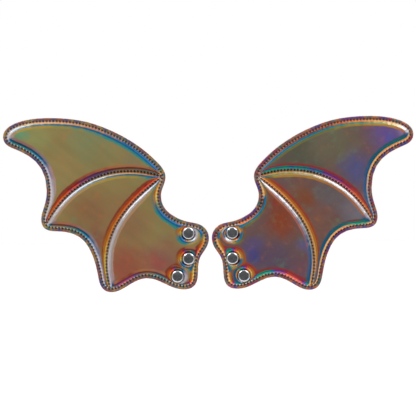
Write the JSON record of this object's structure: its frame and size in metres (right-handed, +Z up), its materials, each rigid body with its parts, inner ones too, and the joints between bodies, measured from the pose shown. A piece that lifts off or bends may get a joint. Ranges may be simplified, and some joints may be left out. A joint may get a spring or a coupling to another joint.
{
  "type": "fairy wings",
  "caption": "Mirrored pair of padded bat-shaped costume wings in iridescent vinyl, edge stitched and ribbed, with press studs on the root tabs for fastening to a garment.",
  "frame": {"origin": "midway between the two middle press studs, on the plane of the padded back, where the wearer's garment is", "axes": "+X along the span towards the right wing, +Y out of the back towards the garment, +Z up as worn; the front faces -Y"},
  "size_m": [0.421, 0.0094, 0.1785],
  "materials": {
    "front_vinyl": "iridescent foil-coated vinyl, satin gloss",
    "back_vinyl": "iridescent foil-coated vinyl, satin gloss",
    "foam": "closed-cell foam sheet",
    "board": "matt backing board",
    "thread": "charcoal polyester thread",
    "cap_metal": "bright nickel plate",
    "socket_metal": "satin nickel plate",
    "spring_wire": "bright spring wire"
  },
  "bodies": {
    "left_tab": {"left_front_skin_tab": "front_vinyl", "left_padding_tab": "foam", "left_back_skin_tab": "back_vinyl", "left_tab_board": "board", "left_edge_stitching_tab": "thread", "left_top_stud_cap": "cap_metal", "left_top_stud_socket": "socket_metal", "left_top_stud_spring": "spring_wire", "left_middle_stud_cap": "cap_metal", "left_middle_stud_socket": "socket_metal", "left_middle_stud_spring": "spring_wire", "left_bottom_stud_cap": "cap_metal", "left_bottom_stud_socket": "socket_metal", "left_bottom_stud_spring": "spring_wire"},
    "left_sail": {"left_front_skin_sail": "front_vinyl", "left_padding_sail": "foam", "left_back_skin_sail": "back_vinyl", "left_edge_stitching_sail": "thread", "left_upper_rib_stitching": "thread", "left_lower_rib_stitching": "thread"},
    "right_tab": {"right_front_skin_tab": "front_vinyl", "right_padding_tab": "foam", "right_back_skin_tab": "back_vinyl", "right_tab_board": "board", "right_edge_stitching_tab": "thread", "right_top_stud_cap": "cap_metal", "right_top_stud_socket": "socket_metal", "right_top_stud_spring": "spring_wire", "right_middle_stud_cap": "cap_metal", "right_middle_stud_socket": "socket_metal", "right_middle_stud_spring": "spring_wire", "right_bottom_stud_cap": "cap_metal", "right_bottom_stud_socket": "socket_metal", "right_bottom_stud_spring": "spring_wire"},
    "right_sail": {"right_front_skin_sail": "front_vinyl", "right_padding_sail": "foam", "right_back_skin_sail": "back_vinyl", "right_edge_stitching_sail": "thread", "right_upper_rib_stitching": "thread", "right_lower_rib_stitching": "thread"}
  },
  "joints": [
    {"name": "left_flap", "type": "hinge", "parent": "left_tab", "child": "left_sail", "pos_m": [-0.05, -0.0034, -0.026], "axis": [0.1544, 0, 0.988], "range_deg": [-30, 35], "stiffness_Nm_per_rad": 0.25},
    {"name": "right_flap", "type": "hinge", "parent": "right_tab", "child": "right_sail", "pos_m": [0.05, -0.0034, -0.026], "axis": [0.1544, 0, -0.988], "range_deg": [-30, 35], "stiffness_Nm_per_rad": 0.25},
    {"name": "pair_spacing", "type": "slide", "parent": "left_tab", "child": "right_tab", "axis": [1, 0, 0], "range_m": [0, 0.06]}
  ]
}
